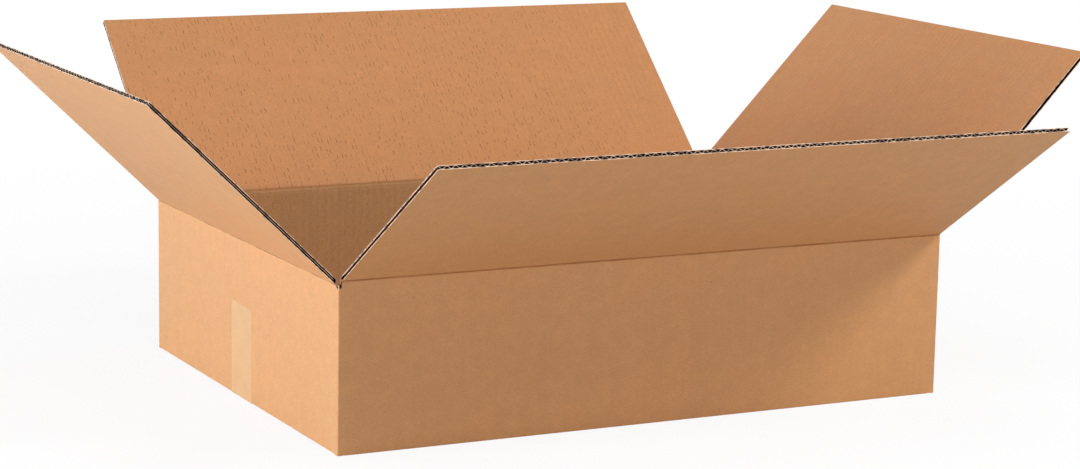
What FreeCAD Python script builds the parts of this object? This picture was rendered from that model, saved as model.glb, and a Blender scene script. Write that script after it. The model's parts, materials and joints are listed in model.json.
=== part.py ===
"""An open shipping box of single-wall corrugated board, folded from one blank and taped underneath.

The box stands on its closed bottom with its four top flaps spread outwards.
Lengths are in millimetres. The origin is on the underside, in the middle of the footprint.
X runs along the box, Y across it and Z up. The front is the side at -Y.
"""
import os

import FreeCAD
import Part
import Sketcher

# Driving sizes. Every other length below is worked out from these.
SIZES = {
    "box_length": 609.6,         # outside, 24 inches
    "box_width": 457.2,          # outside, 18 inches
    "box_height": 152.4,         # underside to the folds of the long flaps, 6 inches
    "board": 4.0,                # C flute board, through both liners
    "liner": 0.35,               # each of the two flat papers
    "medium": 0.4,               # the wavy paper between them, where it meets a liner
    "flute_pitch": 7.8,
    "glue_line": 0.8,            # width over which a flute's crest is glued to its liner
    "edge_slot": 2.2,            # how far the open flute at a flap's side edge reaches in
    "crushed_root": 9.0,         # board pressed flat beside a crease, where no flute is open
    "slot_width": 9.5,           # saw cut between two neighbouring flaps
    "flush_end": 0.8,            # from a long top flap's other end to the corner, clear of the cut
    "slot_drop": 1.7,            # how far that cut runs past the lower fold into the walls
    "seam_gap": 2.0,             # left between two long flaps that meet
    "layer_gap": 0.3,            # left between two boards that lie on each other
    "crease_side": 0.15,         # a flap turns about a line this far outside its outer face
    "crease_rise": 0.42,         # board ends this far each side of that line
    "crease_land": 0.1,          # flat left at the thin end of the mitred crease
    "corner_radius": 1.2,        # outside of the four upright folds
    "bottom_radius": 1.2,        # outside of the folds under the walls
    "tab_width": 35.0,           # glued tab that joins the two ends of the blank
    "tab_taper": 8.0,            # how much shorter the tab is at its free edge, at each end
    "tab_clearance": 4.0,        # from the tab to the flaps above and below it
    "joint_slit": 0.5,           # between the back wall's cut end and the fold of the tab
    "tape_width": 50.8,          # 2 inch packing tape
    "tape_thickness": 0.06,
    "tape_rise": 88.0,           # how far the tape runs up each end wall
    "front_angle": 57.0,         # degrees outwards from upright, as the four flaps stand
    "back_angle": 48.0,
    "left_angle": 46.0,
    "right_angle": 44.0,
}

# Lengths that several features share, as expressions on the sheet.
HALF_LENGTH = "(sizes.box_length / 2)"
HALF_WIDTH = "(sizes.box_width / 2)"
INSET = "((sizes.board + sizes.slot_width) / 2)"
FOLD_STEP = "(sizes.board + sizes.layer_gap)"
FLAP_REACH = "((sizes.box_width - sizes.seam_gap) / 2)"
LONG_FLAP_WIDTH = f"(sizes.box_length - 2 * {INSET})"
LONG_TOP_WIDTH = f"(sizes.box_length - {INSET} - sizes.flush_end)"
LONG_TOP_SHIFT = f"(({INSET} - sizes.flush_end) / 2)"
END_FLAP_WIDTH = f"(sizes.box_width - 2 * {INSET})"
END_FLAP_REACH = f"({FLAP_REACH} + {FOLD_STEP})"
MITRE = "(sizes.board - sizes.crease_land)"
INNER_LENGTH = "(sizes.box_length / 2 - sizes.board)"
INNER_WIDTH = "(sizes.box_width / 2 - sizes.board)"
END_FOLD = f"(sizes.box_height - {FOLD_STEP})"

doc = FreeCAD.newDocument("shipping_box")
sheet = doc.addObject("Spreadsheet::Sheet", "sizes")
for row, (name, value) in enumerate(SIZES.items(), start=1):
    sheet.set(f"A{row}", name)
    sheet.set(f"B{row}", str(value))
    sheet.setAlias(f"B{row}", name)
doc.recompute()


def value_of(expression):
    """Return an expression on the sheet as a plain number."""
    return float(sheet.evalExpression(expression.replace("sizes.", "")))


def new_body(label):
    """Add an empty body with the given label."""
    body = doc.addObject("PartDesign::Body", label)
    body.Label = label
    return body


def new_sketch(body, name, plane, height="0"):
    """Add a sketch on one of the body's own origin planes, lifted off it by a height."""
    sketch = body.newObject("Sketcher::SketchObject", name)
    for feature in body.Origin.OriginFeatures:
        if feature.Role == plane:
            sketch.AttachmentSupport = [(feature, "")]
    sketch.MapMode = "FlatFace"
    sketch.setExpression("AttachmentOffset.Base.z", height)
    return sketch


def pin_point(sketch, line, end, across, up):
    """Hold one end of a line at a place given by two expressions, measured from the origin."""
    for kind, expression in (("DistanceX", across), ("DistanceY", up)):
        place = Sketcher.Constraint(kind, -1, 1, line, end, value_of(expression))
        index = sketch.addConstraint(place)
        sketch.setExpression(f"Constraints[{index}]", expression)


def draw_polygon(sketch, corners):
    """Draw a closed outline whose corners are pairs of expressions, measured from the origin."""
    points = [FreeCAD.Vector(value_of(across), value_of(up), 0) for across, up in corners]
    first = sketch.GeometryCount
    count = len(points)
    for number in range(count):
        sketch.addGeometry(Part.LineSegment(points[number], points[(number + 1) % count]), False)
    for number in range(count):
        following = first + (number + 1) % count
        sketch.addConstraint(Sketcher.Constraint("Coincident", first + number, 2, following, 1))
    for number, (across, up) in enumerate(corners):
        pin_point(sketch, first + number, 1, across, up)


def draw_rectangle(sketch, low, high):
    """Draw a rectangle from its lowest to its highest corner."""
    draw_polygon(sketch, [low, (high[0], low[1]), high, (low[0], high[1])])


def pad(body, sketch, name, length, both_sides=False):
    """Add material over a sketch."""
    feature = body.newObject("PartDesign::Pad", name)
    feature.Profile = sketch
    feature.setExpression("Length", length)
    if both_sides:
        feature.SideType = "Symmetric"
    return feature


def pocket(body, sketch, name, depth, upwards=False):
    """Cut a sketch into the body, down from its plane unless told otherwise."""
    feature = body.newObject("PartDesign::Pocket", name)
    feature.Profile = sketch
    feature.setExpression("Length", depth)
    feature.Reversed = upwards
    return feature


def edges_where(feature, test):
    """Name the straight edges of a feature whose two ends pass a test."""
    doc.recompute()
    names = []
    for number, edge in enumerate(feature.Shape.Edges, start=1):
        ends = [vertex.Point for vertex in edge.Vertexes]
        if len(ends) == 2 and test(*ends):
            names.append(f"Edge{number}")
    return names


def near(first, second):
    """Say whether two lengths are the same."""
    return abs(first - second) < 0.001


def round_edges(body, feature, name, radius, test):
    """Fillet the edges of a feature that pass a test."""
    fillet = body.newObject("PartDesign::Fillet", name)
    fillet.Base = (feature, edges_where(feature, test))
    fillet.setExpression("Radius", radius)
    return fillet


def row_of(body, feature, name, sketch, count, spacing):
    """Repeat a feature along the first axis of its sketch."""
    pattern = body.newObject("PartDesign::LinearPattern", name)
    pattern.Originals = [feature]
    pattern.Direction = (sketch, ["H_Axis"])
    pattern.setExpression("Length", f"({count} - 1) * {spacing}")
    pattern.setExpression("Occurrences", count)
    body.Tip = pattern
    return pattern


def flute_count(width):
    """Give the number of whole flutes between the open edges of a board."""
    return f"floor(({width} - 2 * sizes.edge_slot - sizes.flute_pitch) / sizes.flute_pitch)"


def open_flutes(body, name, plane, height, width, outer_face, depth, upwards=False):
    """Cut the open ends of the flutes into a board's free edge.

    Each flute leaves two three-cornered channels, one against each liner.
    """
    count = flute_count(width)
    start = f"(-({count} - 1) / 2 - 0.25) * sizes.flute_pitch"
    half_base = "(sizes.flute_pitch - sizes.glue_line) / 2"
    low = f"{outer_face} + sizes.liner"
    high = f"{outer_face} + sizes.board - sizes.liner"
    middle = f"{start} + sizes.flute_pitch / 2"
    sketch = new_sketch(body, name + "_section", plane, height)
    draw_polygon(sketch, [
        (f"{start} - {half_base}", high),
        (f"{start} + {half_base}", high),
        (start, f"{low} + sizes.medium"),
    ])
    draw_polygon(sketch, [
        (f"{middle} - {half_base}", low),
        (f"{middle} + {half_base}", low),
        (middle, f"{high} - sizes.medium"),
    ])
    channel = pocket(body, sketch, name + "_channel", depth, upwards)
    return row_of(body, channel, name + "_row", sketch, count, "sizes.flute_pitch")


def open_sides(body, name, height, width, outer_face, depth):
    """Open the flute that a flap's side edges cut along its length, on both sides of the medium."""
    half = f"{width} / 2"
    low = f"{outer_face} + sizes.liner"
    high = f"{outer_face} + sizes.board - sizes.liner"
    centre = f"{outer_face} + sizes.board / 2"
    sketch = new_sketch(body, name + "_section", "XY_Plane", height)
    for near_x, far_x in ((f"-{half}", f"-{half} + sizes.edge_slot"), (f"{half} - sizes.edge_slot", half)):
        draw_rectangle(sketch, (near_x, low), (far_x, f"{centre} - sizes.medium / 2"))
        draw_rectangle(sketch, (near_x, f"{centre} + sizes.medium / 2"), (far_x, high))
    return pocket(body, sketch, name, depth)


def make_flap(label, width, reach, place, yaw, angle):
    """Model a top flap upright over its fold, then tip it outwards about the fold.

    In its own frame the flap's fold line is the X axis, its outer face looks along -Y
    and its flutes run along Z from the fold to the free edge.
    """
    body = new_body(label)
    outer = "sizes.crease_side"
    root = "sizes.crease_rise"
    section = new_sketch(body, "board_section", "YZ_Plane")
    draw_polygon(section, [
        (outer, root),
        (f"{outer} + sizes.crease_land", root),
        (f"{outer} + sizes.board", f"{root} + {MITRE}"),
        (f"{outer} + sizes.board", reach),
        (outer, reach),
    ])
    pad(body, section, "board_blank", width, both_sides=True)
    depth = f"{reach} - {root} - sizes.crushed_root"
    open_sides(body, "side_slots", reach, width, outer, depth)
    open_flutes(body, "flutes", "XY_Plane", reach, width, outer, depth)
    across, along, up = place
    body.setExpression(
        "Placement",
        f"placement(vector({across}; {along}; {up}); rotation({yaw}; 0; {angle}))",
    )
    return body


def draw_both_ends(sketch, near_x, far_x, half_y):
    """Draw the same rectangle at both ends of the box."""
    for side in ("-", ""):
        draw_rectangle(sketch, (f"{side}{near_x}", f"-{half_y}"), (f"{side}{far_x}", half_y))


def draw_corners(sketch, corners):
    """Draw a square over the named upright corners, where the saw cuts between the flaps end."""
    for end, side in corners:
        low = (f"{end}({HALF_LENGTH} - {INSET})", f"{side}({HALF_WIDTH} - {INSET})")
        high = (f"{end}({HALF_LENGTH} + sizes.board)", f"{side}({HALF_WIDTH} + sizes.board)")
        draw_rectangle(sketch, low, high)


def mitre_tops(body, name, plane, outer, top, width):
    """Bevel the inner side of two facing walls' tops, so that a flap can close over each."""
    sketch = new_sketch(body, name + "_section", plane)
    for side in ("-", ""):
        draw_polygon(sketch, [
            (f"{side}({outer} - sizes.crease_land)", top),
            (f"{side}({outer} - sizes.board)", f"{top} - {MITRE}"),
            (f"{side}({outer} - sizes.board)", top),
        ])
    cut = pocket(body, sketch, name, width)
    cut.SideType = "Symmetric"


def make_walls(body):
    """Stand the four walls up as one ring, with the end walls' folds a board inside the long ones."""
    wall_top = "sizes.box_height - sizes.crease_rise"
    beyond_end = f"({HALF_LENGTH} + sizes.board)"
    ring = new_sketch(body, "wall_outline", "XY_Plane")
    draw_rectangle(ring, (f"-{HALF_LENGTH}", f"-{HALF_WIDTH}"), (HALF_LENGTH, HALF_WIDTH))
    draw_rectangle(ring, (f"-{INNER_LENGTH}", f"-{INNER_WIDTH}"), (INNER_LENGTH, INNER_WIDTH))
    walls = pad(body, ring, "walls", wall_top)

    half_length = value_of(HALF_LENGTH)
    half_width = value_of(HALF_WIDTH)

    def folded_corner(start, end):
        upright = near(start.x, end.x) and near(start.y, end.y)
        outside = near(abs(start.x), half_length) and near(abs(start.y), half_width)
        return upright and outside and not (start.x > 0 and start.y > 0)

    round_edges(body, walls, "upright_folds", "sizes.corner_radius", folded_corner)

    lowered = new_sketch(body, "end_wall_tops", "XY_Plane", wall_top)
    draw_both_ends(lowered, INNER_LENGTH, beyond_end, INNER_WIDTH)
    pocket(body, lowered, "end_walls_lowered", FOLD_STEP)
    raised = new_sketch(body, "end_wall_feet", "XY_Plane")
    draw_both_ends(raised, INNER_LENGTH, beyond_end, HALF_WIDTH)
    pocket(body, raised, "end_walls_raised", FOLD_STEP, upwards=True)
    mitre_tops(body, "long_mitres", "YZ_Plane", HALF_WIDTH, wall_top, "sizes.box_length")
    mitre_tops(body, "end_mitres", "XZ_Plane", HALF_LENGTH, f"{wall_top} - {FOLD_STEP}", END_FLAP_WIDTH)


def make_bottom_flaps(body):
    """Close the bottom: two short flaps inside, and two long ones under them that meet in the middle."""
    long_flaps = new_sketch(body, "long_bottom_outline", "XY_Plane")
    for side in ("-", ""):
        low = (f"-{LONG_FLAP_WIDTH} / 2", f"{side}sizes.seam_gap / 2")
        high = (f"{LONG_FLAP_WIDTH} / 2", f"{side}{HALF_WIDTH}")
        draw_rectangle(long_flaps, low, high)
    pad(body, long_flaps, "long_bottom_flaps", "sizes.board")
    short_flaps = new_sketch(body, "short_bottom_outline", "XY_Plane", FOLD_STEP)
    free_edge = f"({HALF_LENGTH} - {END_FLAP_REACH})"
    draw_both_ends(short_flaps, free_edge, HALF_LENGTH, f"{END_FLAP_WIDTH} / 2")
    pad(body, short_flaps, "short_bottom_flaps", "sizes.board")


def make_glued_tab(body):
    """Glue the tab of the right end wall inside the back wall."""
    tab_low = f"{FOLD_STEP} + sizes.board + sizes.tab_clearance"
    tab_high = f"{END_FOLD} - sizes.board - sizes.tab_clearance"
    tab_end = f"{INNER_LENGTH} - sizes.tab_width"
    outline = new_sketch(body, "tab_outline", "XZ_Plane", f"-{INNER_WIDTH}")
    draw_polygon(outline, [
        (tab_end, f"{tab_low} + sizes.tab_taper"),
        (INNER_LENGTH, tab_low),
        (INNER_LENGTH, tab_high),
        (tab_end, f"{tab_high} - sizes.tab_taper"),
    ])
    pad(body, outline, "glued_tab", "sizes.board")


def cut_corners(body):
    """Saw between the flaps at the corners, and open the glued joint.

    The upper cuts lie to one side of their folds, all the same way round the blank. So each
    long top flap keeps one end flush with its corner, and only its other end needs a cut wall.
    """
    bottom_cuts = new_sketch(body, "bottom_corner_cuts", "XY_Plane")
    draw_corners(bottom_cuts, (("-", "-"), ("", "-"), ("-", ""), ("", "")))
    bottom_depth = f"{FOLD_STEP} + sizes.bottom_radius + sizes.slot_drop"
    pocket(body, bottom_cuts, "bottom_slots", bottom_depth, upwards=True)
    top_cuts = new_sketch(body, "top_corner_cuts", "XY_Plane", "sizes.box_height")
    draw_corners(top_cuts, (("-", "-"), ("", "")))
    pocket(body, top_cuts, "top_slots", f"{FOLD_STEP} + sizes.slot_drop")
    slit = new_sketch(body, "joint_outline", "XY_Plane")
    low = (f"{INNER_LENGTH} + sizes.liner", f"{INNER_WIDTH} - sizes.joint_slit")
    draw_rectangle(slit, low, (f"{HALF_LENGTH} + sizes.board", INNER_WIDTH))
    return pocket(body, slit, "joint_slit", "sizes.box_height", upwards=True)


def round_bottom_folds(body, feature):
    """Round the outside of the folds under the four walls."""
    half_length = value_of(HALF_LENGTH)
    half_width = value_of(HALF_WIDTH)
    raised = value_of(FOLD_STEP)

    def bottom_fold(start, end):
        under_long = near(start.z, 0) and near(end.z, 0) and near(start.y, end.y)
        under_end = near(start.z, raised) and near(end.z, raised) and near(start.x, end.x)
        under_long = under_long and near(abs(start.y), half_width)
        return under_long or (under_end and near(abs(start.x), half_length))

    round_edges(body, feature, "bottom_folds", "sizes.bottom_radius", bottom_fold)


def make_box_body():
    """Fold the blank's four walls, its glued tab and its four bottom flaps as one solid."""
    body = new_body("box_body")
    make_walls(body)
    make_bottom_flaps(body)
    make_glued_tab(body)
    last_cut = cut_corners(body)
    round_bottom_folds(body, last_cut)
    tape_seat = new_sketch(body, "tape_seat_outline", "XY_Plane")
    low = (f"-{LONG_FLAP_WIDTH} / 2", "-sizes.tape_width / 2")
    draw_rectangle(tape_seat, low, (f"{LONG_FLAP_WIDTH} / 2", "sizes.tape_width / 2"))
    pocket(body, tape_seat, "tape_seat", "sizes.tape_thickness", upwards=True)
    free_edge = f"{HALF_LENGTH} - {END_FLAP_REACH}"
    depth = f"{END_FLAP_REACH} - sizes.crushed_root"
    for side, plane_x, upwards in (("left", f"-({free_edge})", False), ("right", free_edge, True)):
        name = side + "_bottom_flutes"
        open_flutes(body, name, "YZ_Plane", plane_x, END_FLAP_WIDTH, FOLD_STEP, depth, upwards)
    return body


def make_tape():
    """Run one strip of tape along the bottom seam and up the middle of both end walls.

    From the edge of the bottom flaps it slants across the step to the fold under each end wall.
    """
    body = new_body("bottom_tape")
    thickness = "sizes.tape_thickness"
    flat_end = f"{LONG_FLAP_WIDTH} / 2"
    slant = f"atan(({FOLD_STEP} - {thickness}) / {INSET})"
    lower_bend = f"{thickness} * tan({slant} / 2)"
    upper_bend = f"{thickness} * tan((90 deg - {slant}) / 2)"
    outside = [
        (f"{flat_end} + {lower_bend}", "0"),
        (f"{HALF_LENGTH} + {thickness}", f"{FOLD_STEP} - {upper_bend}"),
        (f"{HALF_LENGTH} + {thickness}", "sizes.tape_rise"),
    ]
    inside = [
        (HALF_LENGTH, "sizes.tape_rise"),
        (HALF_LENGTH, FOLD_STEP),
        (flat_end, thickness),
    ]
    right_half = outside + inside
    left_half = [(f"-({across})", up) for across, up in reversed(right_half)]
    section = new_sketch(body, "tape_section", "XZ_Plane")
    draw_polygon(section, right_half + left_half)
    pad(body, section, "tape_strip", "sizes.tape_width", both_sides=True)
    return body


def make_top_flaps():
    """Hinge the four top flaps on their walls, each at the angle at which it stands."""
    long_out = f"({HALF_WIDTH} + sizes.crease_side)"
    end_out = f"({HALF_LENGTH} + sizes.crease_side)"
    long_size = (LONG_TOP_WIDTH, FLAP_REACH)
    end_size = (END_FLAP_WIDTH, END_FLAP_REACH)
    front_place = (LONG_TOP_SHIFT, f"-{long_out}", "sizes.box_height")
    back_place = (f"-{LONG_TOP_SHIFT}", long_out, "sizes.box_height")
    return [
        make_flap("front_flap", *long_size, front_place, "0", "sizes.front_angle"),
        make_flap("back_flap", *long_size, back_place, "180", "sizes.back_angle"),
        make_flap("left_flap", *end_size, (f"-{end_out}", "0", END_FOLD), "-90", "sizes.left_angle"),
        make_flap("right_flap", *end_size, (end_out, "0", END_FOLD), "90", "sizes.right_angle"),
    ]


pieces = [make_box_body(), *make_top_flaps(), make_tape()]
doc.recompute()

for item in doc.Objects:
    if "Invalid" in item.State or "Error" in item.State:
        raise RuntimeError(f"{item.Name} failed: {item.State}")
for piece in pieces:
    if piece.Shape.isNull() or not piece.Shape.isValid() or len(piece.Shape.Solids) != 1:
        raise RuntimeError(f"{piece.Label} is not one valid solid")

os.makedirs("parts", exist_ok=True)
for piece in pieces:
    piece.Shape.exportStep(f"parts/{piece.Label}.step")
    print(piece.Label, round(piece.Shape.Volume, 1), piece.Shape.BoundBox)
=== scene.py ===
"""An open cardboard shipping box: its paper, flutes, folds and tape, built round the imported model."""
import json
import math

import bmesh
import bpy
import numpy as np
from mathutils import Matrix, Vector


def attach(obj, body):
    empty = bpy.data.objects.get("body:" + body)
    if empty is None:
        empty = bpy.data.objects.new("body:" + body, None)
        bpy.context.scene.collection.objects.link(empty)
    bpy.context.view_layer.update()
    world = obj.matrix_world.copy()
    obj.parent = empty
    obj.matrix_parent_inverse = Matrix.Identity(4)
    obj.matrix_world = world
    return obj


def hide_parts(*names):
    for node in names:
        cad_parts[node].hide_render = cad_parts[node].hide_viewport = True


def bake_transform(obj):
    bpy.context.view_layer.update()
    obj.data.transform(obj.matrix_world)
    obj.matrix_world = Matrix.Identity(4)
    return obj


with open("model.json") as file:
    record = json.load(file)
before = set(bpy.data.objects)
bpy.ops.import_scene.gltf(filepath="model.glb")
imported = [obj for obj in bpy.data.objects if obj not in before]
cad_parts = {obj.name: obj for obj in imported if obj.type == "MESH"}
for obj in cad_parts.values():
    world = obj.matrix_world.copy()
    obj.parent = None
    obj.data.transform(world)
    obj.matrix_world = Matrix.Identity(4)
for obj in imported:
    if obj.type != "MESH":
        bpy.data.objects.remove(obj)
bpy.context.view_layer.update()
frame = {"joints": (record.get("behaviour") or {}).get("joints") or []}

bl_info = {
    "name": "Open Cardboard Box",
    "version": (1, 0, 0),
    "blender": (4, 5, 0),
    "location": "View3D > Sidebar > Box",
    "description": "Builds an open regular slotted box of corrugated board from its packed model",
    "category": "Add Mesh",
}

MM = 0.001

# Names of the material slots that every board piece carries, in this order. The flute slot is darkened with
# painted shade for the gaps between the liners
OUTSIDE, INSIDE, CUT, FLUTE_PAINTED_SHADE = range(4)

# How far each top flap leans outwards from upright, and which way its wall faces
FLAPS = {
    "front_flap": {"joint": "front_fold", "turn": 0, "lean": 57, "wall": "long"},
    "back_flap": {"joint": "back_fold", "turn": 180, "lean": 48, "wall": "long"},
    "left_flap": {"joint": "left_fold", "turn": -90, "lean": 46, "wall": "end"},
    "right_flap": {"joint": "right_fold", "turn": 90, "lean": 44, "wall": "end"},
}

# From the hinge line to a flap's outer face, and from the fold to where the flat liners start
HINGE_SIDE = 0.15 * MM
OUTER_START = 1.5 * MM
INNER_START = 5.0 * MM

# How far a liner sinks towards the other at a cut free edge, and how far before the edge it starts to
EDGE_DIP = 0.12 * MM
EDGE_BAND = 3 * MM

# How much a pressed fold wavers beside a plain one, and the paper's length between two rows of a fold
PRESSED_EASE = 0.3
FOLD_ROW = 0.7 * MM

# Where the flap's wavy paper starts, and how much shorter than the liners every wavy paper is
FLUTE_START = 5.4 * MM
FLUTE_SHORT = 0.15 * MM
FLUTE_NARROW = 0.4 * MM
STEPS_A_FLUTE = 10

# The glued tab: its width, the height of its foot and head at the corner, and how far these slope
TAB_WIDTH = 39 * MM
TAB_FOOT = 12.3 * MM
TAB_HEAD = 140.1 * MM
TAB_SLOPE = 7.2 * MM

# How high the liners stand where no top fold carries them on: at a slot, at the torn point and at the tab
OUTER_TOPS = {"corner": 145.7 * MM, "peak": 149.0 * MM}
OUTER_TOP = 146.4 * MM
INNER_TOPS = {"corner": 149.2 * MM, "peak": 149.2 * MM, "turn": 146.0 * MM}
WALL_FLUTE_TOP = 146.6 * MM

# The camera that was fitted to the corners of the box: azimuth, elevation and roll, then its place
CAMERA_TURN = (26.768, 10.434, 1.035)
CAMERA_PLACE = (-1.242956, -2.464646, 0.641333)

# Each lamp's place and width, and the point that they all face
LAMPS = {
    "key": ((-4.2, 0.2, 0.4), 2.0),
    "front": ((0.6, -4.4, 1.4), 2.4),
    "above": ((-0.4, -0.4, 4.2), 3.0),
    "right": ((2.6, -2.5, 3.5), 1.4),
}
LAMP_TARGET = (0.0, 0.0, 0.15)
FLOOR_REACH = 14.0
FLOOR_DROP = 0.0002


# Sizes and colours that a user would change

def length(name, description, default):
    """A size in metres, shown in the scene's unit."""
    return bpy.props.FloatProperty(
        name=name, description=description, default=default, min=0.0, unit="LENGTH", precision=5
    )


def colour(name, description, default):
    """A paper or film colour, as linear light."""
    return bpy.props.FloatVectorProperty(
        name=name, description=description, default=default, subtype="COLOR", size=3, min=0.0, max=1.0
    )


def share(name, description, default, highest=1.0):
    """A plain number from nothing to its highest."""
    return bpy.props.FloatProperty(
        name=name, description=description, default=default, min=0.0, max=highest, subtype="FACTOR"
    )


class BoxBoard(bpy.types.PropertyGroup):
    """The sheet that the box is cut from, and where it is folded."""

    box_length: length("Length", "Outer length of the box", 0.6096)
    box_width: length("Width", "Outer width of the box", 0.4572)
    box_height: length("Height", "Outer height of the closed box", 0.1524)
    thickness: length("Board", "Thickness of the corrugated board", 0.004)
    liner: length("Liner", "Thickness of each flat paper", 0.0005)
    fluting: length("Fluting", "Thickness of the wavy paper", 0.0004)
    pitch: length("Flute spacing", "From one flute's crest to the next", 0.0078)
    slot: length("Bottom slot", "From a bottom flap's end to the corner", 0.00675)
    long_slot: length("Long flap slot", "From a long top flap's cut end to the corner", 0.0036)
    end_slot: length("End flap slot", "From a short top flap's ends to the corner", 0.0048)
    flush: length("Flush end", "From a long top flap's other end to the corner", 0.0008)
    corner: length("Corner radius", "Outer radius of the upright corners", 0.0012)
    bottom_fold: length("Bottom radius", "Outer radius of the bottom folds", 0.0009)
    step: length("Fold step", "How much lower the end walls' folds lie", 0.0043)
    washboard: length("Washboard", "How far the flutes show through the inner liner", 0.00005)


class BoxPaper(bpy.types.PropertyGroup):
    """The colours of the paper."""

    outside: colour("Outside", "Colour of the outer liner", (0.67, 0.343, 0.146))
    # Inside and Flaps inside are one paper: the flaps' separate colour is painted light, standing in for the
    # different light on the lit flaps and in the shaded box
    inside: colour("Inside", "Colour of the inner liner in the box", (0.49, 0.276, 0.13))
    flaps: colour("Flaps inside", "Colour of the inner liner on the flaps", (0.55, 0.253, 0.1015))
    # Fluting: the wavy paper's brown darkened to nearly black, as painted shade for the gaps between the
    # liners. The liners' backs take it too
    fluting: colour("Fluting", "Colour of the wavy paper", (0.08, 0.025, 0.012))
    cut: colour("Cut edge", "Colour of the cut paper", (1.0, 0.72, 0.52))
    mottle: share("Mottle", "Strength of the cloudy shades in the paper", 1.0, 3.0)
    specks: share("Specks", "Strength of the dark and pale flecks", 1.0, 3.0)
    roughness: share("Roughness", "How matt the paper is", 0.52)


class BoxTape(bpy.types.PropertyGroup):
    """The packing tape along the bottom seam."""

    width: length("Width", "Width of the tape", 0.0508)
    rise: length("Rise", "How high it comes up the end walls", 0.088)
    thickness: length("Thickness", "Thickness of the film", 0.00006)
    film: colour("Film", "Colour of the tape over the paper", (0.735, 0.433, 0.2))
    roughness: share("Roughness", "How matt the film is", 0.34)


class BoxStage(bpy.types.PropertyGroup):
    """The floor, the lamps and the camera."""

    floor: colour("Floor", "Colour of the floor's bounced light", (0.69, 0.69, 0.69))
    key: share("Key lamp", "Level of the large lamp on the left", 1.42, 10.0)
    key_tint: colour("Key colour", "Colour of the large lamp on the left", (0.755, 0.85, 1.0))
    front: share("Front lamp", "Level of the lamp in front", 0.165, 10.0)
    above: share("Upper lamp", "Level of the lamp above", 0.28, 10.0)
    right: share("Right lamp", "Level of the lamp in front on the right", 0.46, 10.0)
    sky: share("Sky", "Level of the light from all round", 0.22, 10.0)
    lens: bpy.props.FloatProperty(
        name="Lens", description="Focal length in millimetres on a 36 mm frame", default=97.48, min=1.0
    )


# Shader sums written as Python

def connect(tree, value, socket):
    """Gives a socket a link from a wire, or a plain value."""
    if isinstance(value, Wire):
        tree.links.new(value.socket, socket)
    else:
        socket.default_value = value


class Wire:
    """A shader socket that takes part in Python sums."""

    def __init__(self, tree, socket):
        self.tree = tree
        self.socket = socket

    def sum_of(self, operation, *values):
        node = self.tree.nodes.new("ShaderNodeMath")
        node.operation = operation
        for value, socket in zip(values, node.inputs):
            connect(self.tree, value, socket)
        return Wire(self.tree, node.outputs[0])

    def __add__(self, other):
        return self.sum_of("ADD", self, other)

    def __sub__(self, other):
        return self.sum_of("SUBTRACT", self, other)

    def __mul__(self, other):
        return self.sum_of("MULTIPLY", self, other)

    def __radd__(self, other):
        return self.sum_of("ADD", other, self)

    def __rsub__(self, other):
        return self.sum_of("SUBTRACT", other, self)

    def __rmul__(self, other):
        return self.sum_of("MULTIPLY", other, self)

    def __abs__(self):
        return self.sum_of("ABSOLUTE", self)

    def most(self, other):
        return self.sum_of("MAXIMUM", self, other)

    def wave(self):
        return self.sum_of("SINE", self)


class Finish:
    """A material and the one way in which nodes are added to it."""

    def __init__(self, name):
        self.material = bpy.data.materials.new(name)
        self.material.use_nodes = True
        self.tree = self.material.node_tree
        self.tree.nodes.clear()

    def node(self, kind, settings=None, sockets=None, output=0):
        node = self.tree.nodes.new("ShaderNode" + kind)
        for key, value in (settings or {}).items():
            setattr(node, key, value)
        for key, value in (sockets or {}).items():
            connect(self.tree, value, node.inputs[key])
        return Wire(self.tree, node.outputs[output])

    def noise(self, place, scale, detail=2.0, roughness=0.5):
        """Cloudy values about 0.5, with features of one over scale."""
        sockets = {"Vector": place, "Scale": scale, "Detail": detail, "Roughness": roughness}
        return self.node("TexNoise", None, sockets)

    def stretched(self, place, stretch, turn=0.0):
        """A place whose axes are stretched, and turned in its plane first."""
        sockets = {"Vector": place, "Rotation": (0.0, 0.0, turn), "Scale": stretch}
        return self.node("Mapping", None, sockets)

    def parts(self, value):
        """The three numbers in a vector or colour."""
        split = self.tree.nodes.new("ShaderNodeSeparateXYZ")
        self.tree.links.new(value.socket, split.inputs[0])
        return [Wire(self.tree, socket) for socket in split.outputs]

    def step(self, value, low, high):
        """0 below low, 1 above high, and a smooth rise between."""
        settings = {"interpolation_type": "SMOOTHSTEP"}
        return self.node("MapRange", settings, {"Value": value, "From Min": low, "From Max": high})

    def mix(self, factor, first, second, blend="MIX"):
        """Two colours mixed by a factor."""
        settings = {"data_type": "RGBA", "blend_type": blend, "clamp_factor": True}
        return self.node("Mix", settings, {0: factor, 6: first, 7: second}, 2)

    def shaded(self, base, value):
        """A colour made lighter or darker by a value."""
        base = base if isinstance(base, Wire) else base[:3]
        return self.node("VectorMath", {"operation": "SCALE"}, {0: base, "Scale": value})

    def finish(self, sockets, normal):
        """Ends the tree in one plain shader."""
        shader = self.node("BsdfPrincipled", None, {**sockets, "Normal": normal})
        self.node_output(shader)
        return self.material

    def node_output(self, shader):
        output = self.tree.nodes.new("ShaderNodeOutputMaterial")
        self.tree.links.new(shader.socket, output.inputs["Surface"])


def solid(value):
    """A colour property as the four numbers that a socket takes."""
    return (*value, 1.0)


# Paper finishes. Sizes in them are in metres, as features per metre.

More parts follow.
